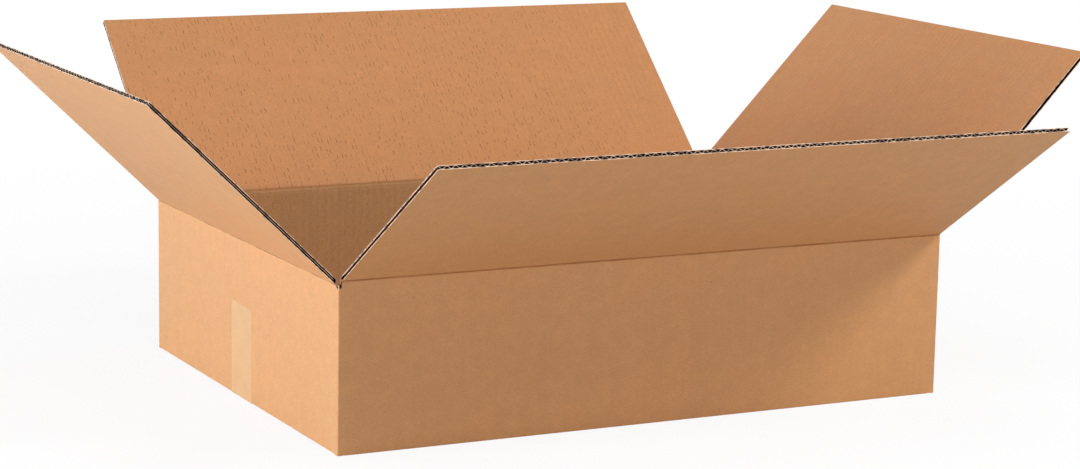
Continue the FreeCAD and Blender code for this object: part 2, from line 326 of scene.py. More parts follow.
def paper(name, base, paler, redder, paper_look, pitch, dashes, ribs, seed):
    """Kraft paper: clouds, streaks along the flutes, fibres, flecks and faint flute lines. The inner liner
    also gets dark dashes, a separate flap colour that is painted light, and a painted highlight along the
    inner fold.
    """
    look = Finish(name)
    place = look.node("TexCoord", None, None, "Object")
    place = look.node("VectorMath", {"operation": "ADD"}, {0: place, 1: (seed, seed * 0.7, seed * 1.3)})
    along = look.node("UVMap", {"uv_map": "panel"})
    across = look.parts(along)[0]
    mottle = paper_look.mottle

    clouds = look.noise(place, 14.0, 3.0, 0.55)
    patches = look.noise(place, 75.0, 3.0, 0.6)
    grain = look.noise(place, 520.0, 4.0, 0.75)
    fine = look.noise(place, 1150.0, 2.0, 0.6)
    streaks = look.noise(look.stretched(along, (70.0, 5.0, 1.0)), 1.0, 3.0)
    bands = look.noise(look.stretched(along, (3.0, 55.0, 1.0)), 1.0, 2.0)
    fibres = look.noise(look.stretched(along, (160.0, 1500.0, 1.0), 0.35), 1.0, 2.0, 0.7)
    crossed = look.noise(look.stretched(along, (190.0, 1300.0, 1.0), -0.5), 1.0, 2.0, 0.7)

    tone = (clouds - 0.5) * 0.07 + (patches - 0.5) * 0.11 + (grain - 0.5) * 0.28
    tone = tone + (streaks - 0.5) * 0.07 + (bands - 0.5) * 0.06 + (fibres + crossed - 1.0) * 0.16
    tone = tone + (fine - 0.5) * (0.75 if dashes else 0.45)
    tone = tone * mottle + 1.0

    # Flutes show through as faint lines, darker where the glue lines are
    turn = across * (math.tau / pitch)
    wander = (look.noise(look.stretched(along, (30.0, 30.0, 1.0)), 1.0, 2.0) - 0.5) * 1.6
    lines = (turn + wander).wave()
    faded = look.step(look.noise(place, 9.0, 2.0), 0.38, 0.62)
    tone = tone + lines * faded * ribs

    colour_here = look.mix(look.step(clouds, 0.3, 0.75) * 0.5, solid(base), solid(redder))
    colour_here = look.mix(look.step(patches, 0.45, 0.8) * 0.12, colour_here, solid(paler))
    if dashes:
        # Above the fold the inner liner takes the flaps' colour: painted light for the lit flaps against the
        # shaded box, on the same paper
        here = look.parts(look.node("TexCoord", None, None, "Object"))
        above = look.step(here[2], 0.1505, 0.1545)
        ratio = tuple(part / whole for part, whole in zip(paper_look.flaps, base))
        flaps_painted_light = look.node("VectorMath", {"operation": "MULTIPLY"}, {0: colour_here, 1: ratio})
        # A pale band along the inner fold, just below the flaps, is a painted highlight
        painted_fold_highlight = look.step(here[2], 0.1485, 0.1515) * (1.0 - look.step(here[2], 0.1525, 0.155)) * 0.4
        colour_here = look.mix(painted_fold_highlight, look.mix(above, colour_here, flaps_painted_light), solid(paler))

        # Short dark dashes where the liner sinks over the flutes
        grid = look.stretched(along, (205.0, 92.0, 1.0))
        settings = {"voronoi_dimensions": "2D", "feature": "F1"}
        sockets = {"Vector": grid, "Scale": 1.0, "Randomness": 0.85}
        nearest, drawn = (look.node("TexVoronoi", settings, sockets, kind) for kind in ("Position", "Color"))
        away = look.parts(look.node("VectorMath", {"operation": "SUBTRACT"}, {0: grid, 1: nearest}))
        pick = look.parts(drawn)
        thin = 1.0 - look.step(abs(away[0]), 0.03, 0.11)
        short = 1.0 - look.step(abs(away[1]), 0.08 + 0.16 * pick[1], 0.16 + 0.22 * pick[1])
        where = look.step(look.noise(place, 7.0, 2.0), 0.36, 0.58)
        shown = (1.0 - look.step(here[0], 0.12, 0.32) * 0.8) * (above * 0.6 + 0.4) * dashes
        chosen = look.step(pick[0] + where * 0.35, 0.62, 0.8)
        mask = thin * short * chosen * (pick[2] * 0.6 + 0.4) * shown
        colour_here = look.mix(mask, colour_here, (base[0] * 0.36, base[1] * 0.22, base[2] * 0.14, 1.0))

    # Dark bark specks and pale fibre flecks
    sockets = {"Vector": place, "Scale": 85.0, "Randomness": 1.0}
    settings = {"feature": "F1"}
    spot, chance = (look.node("TexVoronoi", settings, sockets, kind) for kind in ("Distance", "Color"))
    pick, size, _ = look.parts(chance)
    dark = (1.0 - look.step(spot, 0.02, 0.06 + 0.03 * size)) * look.step(pick, 0.86, 0.9)
    fleck = look.noise(look.stretched(along, (620.0, 190.0, 1.0), 0.8), 1.0, 1.0)
    pale = look.step(fleck, 0.72, 0.78) * 0.4
    colour_here = look.mix(dark * 0.55 * paper_look.specks, colour_here, (0.13, 0.06, 0.03, 1.0))
    colour_here = look.mix(pale * paper_look.specks, colour_here, solid(paler))
    colour_here = look.shaded(colour_here, tone)

    height = grain * 0.5 + fibres * 0.35 + crossed * 0.35 + patches * 0.6
    bump = look.node("Bump", None, {"Strength": 0.35, "Distance": 0.00012, "Height": height})
    rough = paper_look.roughness + (grain - 0.5) * 0.22 + (clouds - 0.5) * 0.08
    sockets = {"Base Color": colour_here, "Roughness": rough, "Specular IOR Level": 0.2 if dashes else 0.3}
    return look.finish(sockets, bump)


def cut_paper(name, base, dusk, shine, seed):
    """The torn and sheared fibres of a cut edge, or the fluting paper, darkened with painted shade for the
    gaps between the liners.
    """
    look = Finish(name)
    place = look.node("TexCoord", None, None, "Object")
    place = look.node("VectorMath", {"operation": "ADD"}, {0: place, 1: (seed, seed, seed)})
    coarse = look.noise(place, 130.0, 3.0, 0.6)
    fine = look.noise(place, 1400.0, 3.0, 0.7)
    tone = (coarse - 0.5) * 0.5 + (fine - 0.5) * 0.6 + 1.0
    colour_here = look.mix(look.step(coarse, 0.5, 0.58), solid(base), solid([part * dusk for part in base]))
    colour_here = look.shaded(colour_here, tone)
    bump = look.node("Bump", None, {"Strength": 0.5, "Distance": 0.0001, "Height": fine + coarse})
    sockets = {"Base Color": colour_here, "Roughness": 0.8 + (fine - 0.5) * 0.2, "Specular IOR Level": shine}
    return look.finish(sockets, bump)


def tape_film(tape_look):
    """Tan film over paper: the board shows through, with air lines and a soft sheen."""
    look = Finish("packing_tape_film")
    place = look.node("TexCoord", None, None, "Object")
    grain = look.noise(place, 380.0, 3.0, 0.6)
    clouds = look.noise(place, 40.0, 2.0)
    stretch = look.noise(look.stretched(place, (1.0, 300.0, 14.0)), 1.0, 2.0)
    tone = (grain - 0.5) * 0.10 + (clouds - 0.5) * 0.10 + (stretch - 0.5) * 0.08 + 1.0
    film = solid(tape_look.film)
    tinted = look.mix(look.step(clouds, 0.4, 0.7), film, solid([part * 0.93 for part in tape_look.film]))
    height = stretch * 0.7 + grain * 0.2
    bump = look.node("Bump", None, {"Strength": 0.25, "Distance": 0.0001, "Height": height})
    rough = tape_look.roughness + (stretch - 0.5) * 0.2
    return look.finish({"Base Color": look.shaded(tinted, tone), "Roughness": rough}, bump)


def board_finishes():
    """The four finishes of a board piece, made once."""
    board = bpy.context.scene.box_board
    look = bpy.context.scene.box_paper
    if "kraft_outside" not in bpy.data.materials:
        outside = look.outside
        paper(
            "kraft_outside", outside, [part * 1.22 for part in outside],
            (outside[0], outside[1] * 0.94, outside[2] * 0.88), look, board.pitch, 0.0, 0.006, 0.0
        )
        inside = look.inside
        paper(
            "kraft_inside", inside, [part * 1.2 for part in inside],
            (inside[0] * 1.02, inside[1] * 0.93, inside[2] * 0.86), look, board.pitch, 0.85, 0.022, 3.1
        )
        cut_paper("cut_edge", look.cut, 0.4, 0.2, 1.7)
        # The fluting finish is painted shade: its dark colour stands in for the shade between the liners
        cut_paper("fluting_paper_painted_shade", look.fluting, 0.7, 0.0, 4.9)
    names = ("kraft_outside", "kraft_inside", "cut_edge", "fluting_paper_painted_shade")
    return [bpy.data.materials[name] for name in names]


# Sheets of paper as closed thin solids

class Sheets:
    """Collects the faces of thin closed sheets that make one piece."""

    def __init__(self):
        self.points = []
        self.faces = []
        self.slots = []
        self.places = []

    def add(self, front, back, places, slots, keep=None):
        """A grid of front points and its back, with a rim round the kept cells. slots: front, back, rim."""
        rows, columns = front.shape[:2]
        keep = np.ones((rows - 1, columns - 1), bool) if keep is None else keep
        start = len(self.points)
        self.points.extend(front.reshape(-1, 3).tolist())
        self.points.extend(back.reshape(-1, 3).tolist())
        flat = places.reshape(-1, 2).tolist()
        behind = rows * columns
        row, column = np.argwhere(keep)[0]
        across = front[row, column + 1] - front[row, column]
        along = front[row + 1, column] - front[row, column]
        outwards = np.dot(np.cross(across, along), front[row, column] - back[row, column]) > 0

        def put(loop, slot):
            self.faces.append([start + i for i in loop])
            self.slots.append(slot)
            self.places.extend(flat[i % behind] for i in loop)

        def kept(r, c):
            return 0 <= r < rows - 1 and 0 <= c < columns - 1 and keep[r, c]

        for r, c in np.argwhere(keep):
            a = r * columns + c
            loop = [a, a + 1, a + columns + 1, a + columns]
            beyond = [(r - 1, c), (r, c + 1), (r + 1, c), (r, c - 1)]
            if not outwards:
                loop = loop[::-1]
                beyond = [beyond[2], beyond[1], beyond[0], beyond[3]]
            put(loop, slots[0])
            put([i + behind for i in loop[::-1]], slots[1])
            for side in range(4):
                if not kept(*beyond[side]):
                    first = loop[side]
                    second = loop[(side + 1) % 4]
                    put([second, first, first + behind, second + behind], slots[2])

    def piece(self, name, matrix=None, smooth=40.0):
        """The finished object, with its place in its mesh."""
        mesh = bpy.data.meshes.new(name)
        mesh.from_pydata(self.points, [], self.faces)
        mesh.polygons.foreach_set("material_index", self.slots)
        layer = mesh.uv_layers.new(name="panel")
        layer.data.foreach_set("uv", np.array(self.places, np.float32).ravel())
        for finish in board_finishes():
            mesh.materials.append(finish)
        drop_loose(mesh)
        if matrix is not None:
            mesh.transform(matrix)
        mesh.shade_smooth()
        mesh.set_sharp_from_angle(angle=math.radians(smooth))
        mesh.update()
        return link(name, mesh)


def drop_loose(mesh):
    """Takes out grid points that no kept cell uses."""
    work = bmesh.new()
    work.from_mesh(mesh)
    bmesh.ops.delete(work, geom=[v for v in work.verts if not v.link_faces], context="VERTS")
    work.to_mesh(mesh)
    work.free()


def link(name, mesh):
    """An object at the origin that shows a mesh."""
    made = bpy.data.objects.new(name, mesh)
    bpy.context.scene.collection.objects.link(made)
    return made


# Geometry Nodes for the wavy paper

def flute_tree():
    """Wavy paper between two liners: a wave swept with a thin upright strip."""
    if "box_flutes" in bpy.data.node_groups:
        return bpy.data.node_groups["box_flutes"]
    tree = bpy.data.node_groups.new("box_flutes", "GeometryNodeTree")
    face = tree.interface
    face.new_socket("Geometry", in_out="OUTPUT", socket_type="NodeSocketGeometry")
    for name in ("Width", "Reach", "Pitch", "Depth", "Paper", "Phase"):
        face.new_socket(name, in_out="INPUT", socket_type="NodeSocketFloat")
    face.new_socket("Steps", in_out="INPUT", socket_type="NodeSocketInt")
    face.new_socket("Finish", in_out="INPUT", socket_type="NodeSocketMaterial")
    face.new_socket("Cut finish", in_out="INPUT", socket_type="NodeSocketMaterial")
    given = tree.nodes.new("NodeGroupInput")

    def add(kind, settings=None, sockets=None):
        node = tree.nodes.new(kind)
        for key, value in (settings or {}).items():
            setattr(node, key, value)
        for key, value in (sockets or {}).items():
            if isinstance(value, bpy.types.NodeSocket):
                tree.links.new(value, node.inputs[key])
            else:
                node.inputs[key].default_value = value
        return node

    def sum_of(operation, first, second=0.0):
        return add("ShaderNodeMath", {"operation": operation}, {0: first, 1: second}).outputs[0]

    width = given.outputs["Width"]
    half = sum_of("MULTIPLY", width, 0.5)
    waves = sum_of("ROUND", sum_of("DIVIDE", width, given.outputs["Pitch"]))
    count = sum_of("ADD", sum_of("MULTIPLY", waves, given.outputs["Steps"]), 1.0)
    start = add("ShaderNodeCombineXYZ", None, {0: sum_of("MULTIPLY", half, -1.0)}).outputs[0]
    end = add("ShaderNodeCombineXYZ", None, {0: half}).outputs[0]
    line = add("GeometryNodeCurvePrimitiveLine", None, {"Start": start, "End": end}).outputs[0]
    line = add("GeometryNodeResampleCurve", None, {"Curve": line, "Count": count}).outputs[0]
    place = add("GeometryNodeInputPosition").outputs[0]
    x = add("ShaderNodeSeparateXYZ", None, {0: place}).outputs[0]
    turn = sum_of("MULTIPLY", sum_of("DIVIDE", sum_of("MULTIPLY", x, waves), width), math.tau)
    turn = sum_of("ADD", turn, given.outputs["Phase"])
    swing = sum_of("SUBTRACT", given.outputs["Depth"], given.outputs["Paper"])
    y = sum_of("MULTIPLY", sum_of("SINE", turn), sum_of("MULTIPLY", swing, 0.5))
    raised = add("ShaderNodeCombineXYZ", None, {0: x, 1: y}).outputs[0]
    wave = add("GeometryNodeSetPosition", None, {"Geometry": line, "Position": raised}).outputs[0]
    wave = add("GeometryNodeSetCurveNormal", {"mode": "Z_UP"}, {"Curve": wave}).outputs[0]
    strip = add(
        "GeometryNodeCurvePrimitiveQuadrilateral", {"mode": "RECTANGLE"},
        {"Width": given.outputs["Paper"], "Height": given.outputs["Reach"]}
    ).outputs[0]
    sheet = add(
        "GeometryNodeCurveToMesh", None, {"Curve": wave, "Profile Curve": strip, "Fill Caps": True}
    ).outputs[0]
    sheet = add("GeometryNodeRealizeInstances", None, {"Geometry": sheet}).outputs[0]
    sheet = add(
        "GeometryNodeSetMaterial", None, {"Geometry": sheet, "Material": given.outputs["Finish"]}
    ).outputs[0]
    facing = add("GeometryNodeInputNormal").outputs[0]
    facing = add("ShaderNodeSeparateXYZ", None, {0: facing})
    upright = sum_of("GREATER_THAN", sum_of("ABSOLUTE", facing.outputs[2]), 0.9)
    inside = sum_of("LESS_THAN", sum_of("ABSOLUTE", x), sum_of("SUBTRACT", half, 0.0001))
    is_cut = sum_of("MAXIMUM", upright, sum_of("SUBTRACT", 1.0, inside))
    sheet = add(
        "GeometryNodeSetMaterial", None,
        {"Geometry": sheet, "Selection": is_cut, "Material": given.outputs["Cut finish"]}
    ).outputs[0]
    output = tree.nodes.new("NodeGroupOutput")
    tree.links.new(sheet, output.inputs[0])
    return tree


def flute_mesh(width, low, high, crest):
    """Plain mesh of one board's wavy paper in its own frame: X across, Y through, Z along the flutes.

    With crest, the wave ends against the inner liner at both side edges, and otherwise half way through.
    """
    board = bpy.context.scene.box_board
    odd = round((width - FLUTE_NARROW) / board.pitch) % 2
    phase = (math.pi * (1.5 if odd else 0.5)) if crest else 0.0
    tree = flute_tree()
    carrier = link("flute_carrier", bpy.data.meshes.new("flute_carrier"))
    modifier = carrier.modifiers.new("Flutes", "NODES")
    modifier.node_group = tree
    values = {
        "Width": width - FLUTE_NARROW, "Reach": high - low, "Pitch": board.pitch,
        "Depth": board.thickness - 2 * board.liner, "Paper": board.fluting, "Phase": phase,
        "Steps": STEPS_A_FLUTE, "Finish": board_finishes()[FLUTE_PAINTED_SHADE], "Cut finish": board_finishes()[CUT],
    }
    for item in tree.interface.items_tree:
        if item.name in values:
            modifier[item.identifier] = values[item.name]
    seen = carrier.evaluated_get(bpy.context.evaluated_depsgraph_get())
    mesh = bpy.data.meshes.new_from_object(seen)
    bpy.data.objects.remove(carrier)
    mesh.transform(Matrix.Translation((0, board.thickness / 2, (low + high) / 2)))
    return mesh


def flute_piece(name, parts, crest=False):
    """One piece from the wavy papers of a body. parts: (width, low, high, matrix)."""
    work = bmesh.new()
    finishes = (board_finishes()[FLUTE_PAINTED_SHADE], board_finishes()[CUT])
    for width, low, high, matrix in parts:
        mesh = flute_mesh(width, low, high, crest)
        order = [finishes.index(finish) for finish in mesh.materials]
        for polygon in mesh.polygons:
            polygon.material_index = order[polygon.material_index]
        mesh.transform(matrix)
        work.from_mesh(mesh)
        bpy.data.meshes.remove(mesh)
    bmesh.ops.recalc_face_normals(work, faces=work.faces)
    made = bpy.data.meshes.new(name)
    work.to_mesh(made)
    work.free()
    for finish in finishes:
        made.materials.append(finish)
    made.shade_smooth()
    made.set_sharp_from_angle(angle=math.radians(50))
    return link(name, made)


# Where each flap and panel lies

def joint_named(name):
    return next(joint for joint in frame["joints"] if joint["name"] == name)


def flap_frame(name):
    """The flap's own frame: X along its fold, Y towards the box's inside, Z from fold to free edge."""
    facts = FLAPS[name]
    hinge = Matrix.Translation(Vector(joint_named(facts["joint"])["pos_m"]))
    return hinge @ Matrix.Rotation(math.radians(facts["turn"]), 4, "Z") @ lean_of(name)


def lean_of(name):
    return Matrix.Rotation(math.radians(FLAPS[name]["lean"]), 4, "X")


def flap_size(name):
    """(first and last place along the fold, reach from the fold)."""
    board = bpy.context.scene.box_board
    flap_reach = board.box_width / 2 - 0.001
    if FLAPS[name]["wall"] == "long":
        half = board.box_length / 2
        return board.long_slot - half, half - board.flush, flap_reach
    half = board.box_width / 2
    return board.end_slot - half, half - board.end_slot, flap_reach + board.step


def spread(first, last, spacing):
    """Even steps from a first to a last place."""
    count = max(2, int(round((last - first) / spacing)) + 1)
    return np.linspace(first, last, count)


def board_grid(across, profile, relief=0.0, pitch=1.0):
    """Front and back points and places of a liner in a board's own frame.

    Each row of the profile is y, z, y behind and z behind.
    """
    profile = np.array(profile)
    rows = len(profile)
    columns = len(across)
    front = np.zeros((rows, columns, 3))
    back = np.zeros((rows, columns, 3))
    front[..., 0] = back[..., 0] = across[None, :]
    swell = relief * np.sin(across * math.tau / pitch)[None, :]
    front[..., 1] = profile[:, 0:1] + swell
    front[..., 2] = profile[:, 1:2]
    back[..., 1] = profile[:, 2:3]
    back[..., 2] = profile[:, 3:4]
    places = np.zeros((rows, columns, 2))
    places[..., 0] = across[None, :]
    run = np.concatenate([[0], np.cumsum(np.hypot(np.diff(profile[:, 0]), np.diff(profile[:, 1])))])
    places[..., 1] = run[:, None]
    return front, back, places


def side_normals(line):
    """Unit normals of a line of points, on one side of it."""
    step_along = np.gradient(line, axis=0)
    normal = np.stack([step_along[:, 1], -step_along[:, 0]], 1)
    return normal / np.maximum(np.linalg.norm(normal, axis=1, keepdims=True), 1e-12)


def true_pitch(width, pitch):
    """The flute spacing that fits a whole number of flutes in a width."""
    return width / round(width / pitch)


# Operators

class BOX_OT_flaps(bpy.types.Operator):
    """Build the four open top flaps as two liners and a wavy paper each"""

    bl_idname = "box.flaps"
    bl_label = "Top flaps"

    def execute(self, context):
        board = context.scene.box_board
        liner = board.liner
        outer = HINGE_SIDE
        inner = outer + board.thickness
        for name in FLAPS:
            first, last, reach = flap_size(name)
            width = last - first
            matrix = flap_frame(name)
            pitch = true_pitch(width, board.pitch)
            sheets = Sheets()
            # Both liners run flat from the fold and dip a little at the free edge
            across = spread(first, last, pitch / 4)
            for face, side, starts, relief, slot in (
                (outer, 1, (OUTER_START, INNER_START), 0.0, OUTSIDE),
                (inner, -1, (INNER_START, 9 * MM), -board.washboard * 0.6, INSIDE),
            ):
                back = face + side * liner
                rows = [(face, z, back, z) for z in (*starts, reach * 0.5, reach - EDGE_BAND)]
                rows.append((face + side * EDGE_DIP, reach, back + side * EDGE_DIP, reach))
                sheets.add(*board_grid(across, rows, relief, pitch), (slot, FLUTE_PAINTED_SHADE, CUT))
            piece = sheets.piece(name + "_liners", matrix)
            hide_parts(name)
            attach(piece, name)
            seat = matrix @ Matrix.Translation(((first + last) / 2, outer, 0))
            sheet = (width, FLUTE_START, reach - FLUTE_SHORT, seat)
            flutes = flute_piece(name + "_flutes", [sheet], name in ("front_flap", "right_flap"))
            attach(flutes, name)
        return {"FINISHED"}


class BOX_OT_creases(bpy.types.Operator):
    """Build both papers of the scored fold between each wall and its top flap, bent to the flap's lean"""

    bl_idname = "box.creases"
    bl_label = "Top folds"

    def execute(self, context):
        # Each row is (side, depth from the outer face, distance from the fold). Side -1 lies on the wall,
        # 1 on the flap and 0 half way between them. Depths are towards the box's inside.
        outside = {
            "long": (
                (-1, 0.13, 1.9), (-1, 0.11, 0.95), (-1, 0.8, 0.5), (0, 2.3, 0.0),
                (1, 0.8, 0.5), (1, 0.11, 0.95), (1, 0.13, 1.9),
            ),
            "end": (
                (-1, 0.13, 1.9), (-1, 0.2, 0.95), (-1, 0.3, 0.5), (0, 0.35, 0.0),
                (1, 0.3, 0.5), (1, 0.2, 0.95), (1, 0.13, 1.9),
            ),
        }
        # An end flap's fold is pressed flat, so that a long flap can close over it
        inside = {
            "long": (
                (-1, 3.98, 5.6), (-1, 3.97, 3.0), (-1, 3.8, 1.5), (-1, 3.5, 0.5), (-1, 3.75, -0.2),
                (0, 4.0, 0.0), (1, 3.95, 0.5), (1, 4.05, 1.6), (1, 4.13, 3.0), (1, 4.13, 5.6),
            ),
            "end": (
                (-1, 3.98, 5.6), (-1, 3.97, 3.0), (-1, 3.9, 1.3), (-1, 3.3, 0.45), (-1, 1.15, 0.3),
                (1, 0.85, 0.8), (1, 2.6, 1.9), (1, 4.05, 3.4), (1, 4.13, 4.6), (1, 4.13, 5.6),
            ),
        }
        half_blends = {"long": (2.2, 4.5), "end": (1.0, 1.5)}
        for name, facts in FLAPS.items():
            hinge = Vector(joint_named(facts["joint"])["pos_m"])
            upright = Matrix.Translation(hinge) @ Matrix.Rotation(math.radians(facts["turn"]), 4, "Z")
            fold_name = name.replace("flap", "fold")
            wall = facts["wall"]
            outer_blend, inner_blend = half_blends[wall]
            self.fold(name, fold_name, outside[wall], upright, 1.0, outer_blend)
            self.fold(name, fold_name + "_inside", inside[wall], upright, -1.0, inner_blend)
        return {"FINISHED"}

    def fold(self, name, fold_name, rows, upright, towards, half_blend):
        """One paper of a fold. towards says on which side of its face its thickness lies."""
        board = bpy.context.scene.box_board
        first, last, _ = flap_size(name)
        lean = math.radians(FLAPS[name]["lean"])
        across = spread(first, last, 2.6 * MM)
        count = len(across)
        chance = np.random.default_rng(len(fold_name) * 7 + FLAPS[name]["lean"])
        waver = np.convolve(chance.normal(0, 0.16 * MM, count + 4), np.ones(5) / 5, "valid")
        sink = np.convolve(chance.normal(0, 0.3 * MM, count + 10), np.ones(11) / 11, "valid")
        points = []
        for side, depth, away in rows:
            turn = lean * (side + 1) / 2
            depth = depth * MM
            up = away * MM * side
            points.append((
                depth * math.cos(turn) - up * math.sin(turn), depth * math.sin(turn) + up * math.cos(turn)
            ))
        points = np.array(points)
        behind = points + side_normals(points) * board.liner * towards
        front, back, places = board_grid(across, np.hstack([points, behind]))
        ease = 1.0 if FLAPS[name]["wall"] == "long" else PRESSED_EASE
        for grid in (front, back):
            grid[2:-2, :, 1] += sink * towards * ease
            grid[2:-2, :, 2] += waver * ease
        places[..., 1] = np.arange(len(rows))[:, None] * FOLD_ROW
        sheets = Sheets()
        face = OUTSIDE if towards > 0 else INSIDE
        sheets.add(front, back, places, (face, FLUTE_PAINTED_SHADE, CUT))
        piece = sheets.piece(fold_name, upright, 60.0)
        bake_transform(piece)


def plan_path(board):
    """Stations round the walls from the back wall's right end: outer point, inward vector and kind.

    Panels are long or end. With _top they have no bottom flap. A corner stops below the top folds.
    """
    half_x = board.box_length / 2
    half_y = board.box_width / 2
    radius = board.corner
    thick = board.thickness
    spacing = board.pitch / 4
    stations = []

    def straight(places, inward):
        """Panels along one wall. places: a start point, then (end point, kind) for each panel."""
        start = places[0]
        for end, kind in places[1:]:
            count = max(1, int(round(math.dist(start, end) / spacing)))
            for k in range(count + 1):
                t = k / count
                point = (start[0] + (end[0] - start[0]) * t, start[1] + (end[1] - start[1]) * t)
                station = (point, (inward[0] * thick, inward[1] * thick), kind)
                doubled = stations and math.dist(stations[-1][0], point) < 1e-7
                if not doubled:
                    stations.append(station)
                elif kind in ("long", "end") or stations[-1][2] == "corner":
                    stations[-1] = station
            start = end

    def bend(centre, first, turn, inner_corner, kind):
        for k in range(1, 6):
            angle = math.radians(first + turn * k / 6)
            point = (centre[0] + radius * math.cos(angle), centre[1] + radius * math.sin(angle))
            inner = (inner_corner[0] - point[0], inner_corner[1] - point[1])
            stations.append((point, inner, kind))

    low_x = half_x - board.slot
    low_y = half_y - board.slot
    cut_x = half_x - board.long_slot
    cut_y = half_y - board.end_slot
    turn_x = half_x - radius
    turn_y = half_y - radius
    # Back wall, from its cut right end to the rear left corner, which stands flush with its flap
    straight([
        (half_x, half_y), ((cut_x, half_y), "corner"), ((low_x, half_y), "long_top"),
        ((-low_x, half_y), "long"), ((-turn_x, half_y), "long_top")
    ], (0, -1))
    bend((-turn_x, turn_y), 90, 90, (-half_x + thick, half_y - thick), "long_top")
    # Left wall
    straight([
        (-half_x, turn_y), ((-half_x, cut_y), "long_top"), ((-half_x, low_y), "end_top"),
        ((-half_x, -low_y), "end"), ((-half_x, -cut_y), "end_top"), ((-half_x, -turn_y), "corner")
    ], (1, 0))
    bend((-turn_x, -turn_y), 180, 90, (-half_x + thick, -half_y + thick), "peak")
    # Front wall, whose right end stands flush with its flap
    straight([
        (-turn_x, -half_y), ((-cut_x, -half_y), "corner"), ((-low_x, -half_y), "long_top"),
        ((low_x, -half_y), "long"), ((turn_x, -half_y), "long_top")
    ], (0, 1))
    bend((turn_x, -turn_y), 270, 90, (half_x - thick, -half_y + thick), "long_top")
    # Right wall, then the glued tab behind the back wall
    tab_y = half_y - thick - 0.1 * MM
    straight([
        (half_x, -turn_y), ((half_x, -cut_y), "long_top"), ((half_x, -low_y), "end_top"),
        ((half_x, low_y), "end"), ((half_x, tab_y - radius), "turn")
    ], (-1, 0))
    bend((turn_x, tab_y - radius), 0, 90, (half_x - thick, tab_y - thick), "turn")
    straight([(turn_x, tab_y), ((half_x - TAB_WIDTH, tab_y), "tab")], (0, -1))
    return stations


# Rows of the walls' section, from a bottom flap's free edge up to the top fold.
# Each row is (inset from the wall's outer face, height above the underside).
ROW_LOW = 9
ROW_HIGH = 13


def wall_rows(board, kind, inner_side):
    """Rows of a wall's outer or inner face for a kind of wall."""
    long_wall = not kind.startswith("end")
    thick = board.thickness
    fold = board.bottom_fold
    low = 0.0 if long_wall else board.step
    base = 0.0 if long_wall else 0.6 * MM
    hinge = board.box_height if long_wall else board.box_height - board.step
    reach = board.box_width / 2 - 0.001 + low
    if inner_side:
        floor_high = low + thick
        rows = [(reach, floor_high), (reach - 3 * MM, floor_high), (reach * 0.5, floor_high)]
        rows += [(thick + 4 * MM, floor_high), (thick + 2.5 * MM, floor_high)]
        bend = ((1.2, 0.05), (0.5, 0.15), (0.2, 0.3), (0.05, 0.6), (0.0, 1.0))
        rows += [(thick + x * MM, floor_high + z * MM) for x, z in bend]
        top = hinge - INNER_START
        high = INNER_TOPS.get(kind, top - 0.2 * MM)
        rows.append((thick, 14 * MM))
    else:
        rows = [(reach, low), (reach - 3 * MM, low), (reach * 0.5, low), (6.5 * MM, low)]
        for k in range(6):
            angle = math.radians(90 * k / 5)
            rows.append((fold - fold * math.sin(angle), base + fold - fold * math.cos(angle)))
        if kind not in ("long", "end"):
            rows[ROW_LOW] = (0.0, 0.25 * MM)
        top = hinge - OUTER_START
        high = OUTER_TOPS.get(kind, OUTER_TOP)
        rows.append((0.0, 12 * MM))
    inset = rows[-1][0]
    rows += [(inset, height) for height in (80 * MM, high - 3 * MM, high, (high + top) / 2, top)]
    return rows


def rows_kept(first, second):
    """Which rows of cells stand between two kinds of stations."""
    if first == second and first in ("long", "end"):
        return slice(0, None)
    same_wall = first.split("_")[0] == second.split("_")[0]
    if same_wall and first.split("_")[0] in ("long", "end"):
        return slice(ROW_LOW, None)
    return slice(ROW_LOW, ROW_HIGH)


def wall_band(board, inner_side):
    """Front and back points, places and kept cells of a liner round the walls and bottom flaps."""
    stations = plan_path(board)
    liner = board.liner
    rows_of = {}
    for kind in ("long", "long_top", "end", "end_top", "corner", "peak", "turn", "tab"):
        rows_of[kind] = wall_rows(board, kind, inner_side)
    rows = len(rows_of["long"])
    columns = len(stations)
    front = np.zeros((rows, columns, 3))
    back = np.zeros((rows, columns, 3))
    places = np.zeros((rows, columns, 2))
    run = 0.0
    last = stations[0][0]
    for column, (point, inward, kind) in enumerate(stations):
        run += math.dist(point, last)
        last = point
        profile = np.array(rows_of[kind])
        if kind == "tab":
            slope = (board.box_length / 2 - point[0]) / TAB_WIDTH * TAB_SLOPE
            profile[ROW_LOW, 1] = TAB_FOOT + slope
            profile[ROW_LOW + 1, 1] = 30 * MM
            profile[ROW_HIGH, 1] = TAB_HEAD - slope
            profile[ROW_HIGH - 1, 1] = profile[ROW_HIGH, 1] - 3 * MM
            profile[:, 0] = board.thickness if inner_side else 0.0
        # Normals of the section, pointing to this liner's seen side
        normal = side_normals(profile)
        towards = 1.0 if inner_side else -1.0
        if normal[ROW_LOW + 2, 0] * towards < 0:
            normal = -normal
        deep = profile - normal * liner
        depth = math.hypot(*inward)
        unit = (inward[0] / depth, inward[1] / depth)
        # At a corner the inner face lies further off than the board is thick
        widen = depth / board.thickness
        relief = 0.0
        if inner_side and kind in ("long", "end"):
            relief = board.washboard * math.sin(run * math.tau / board.pitch)
        for row in range(rows):
            inset, height = profile[row]
            inset_deep, height_deep = deep[row]
            inset = inset * widen + (relief if row > 2 else 0.0)
            inset_deep = inset_deep * widen
            front[row, column] = (point[0] + unit[0] * inset, point[1] + unit[1] * inset, height)
            back[row, column] = (
                point[0] + unit[0] * inset_deep, point[1] + unit[1] * inset_deep, height_deep
            )
        lengths = np.hypot(np.diff(profile[:, 0]), np.diff(profile[:, 1]))
        places[:, column, 0] = run
        places[:, column, 1] = np.concatenate([[0], np.cumsum(lengths)])
    keep = np.zeros((rows - 1, columns - 1), bool)
    for column in range(columns - 1):
        keep[rows_kept(stations[column][2], stations[column + 1][2]), column] = True
    return front, back, places, keep


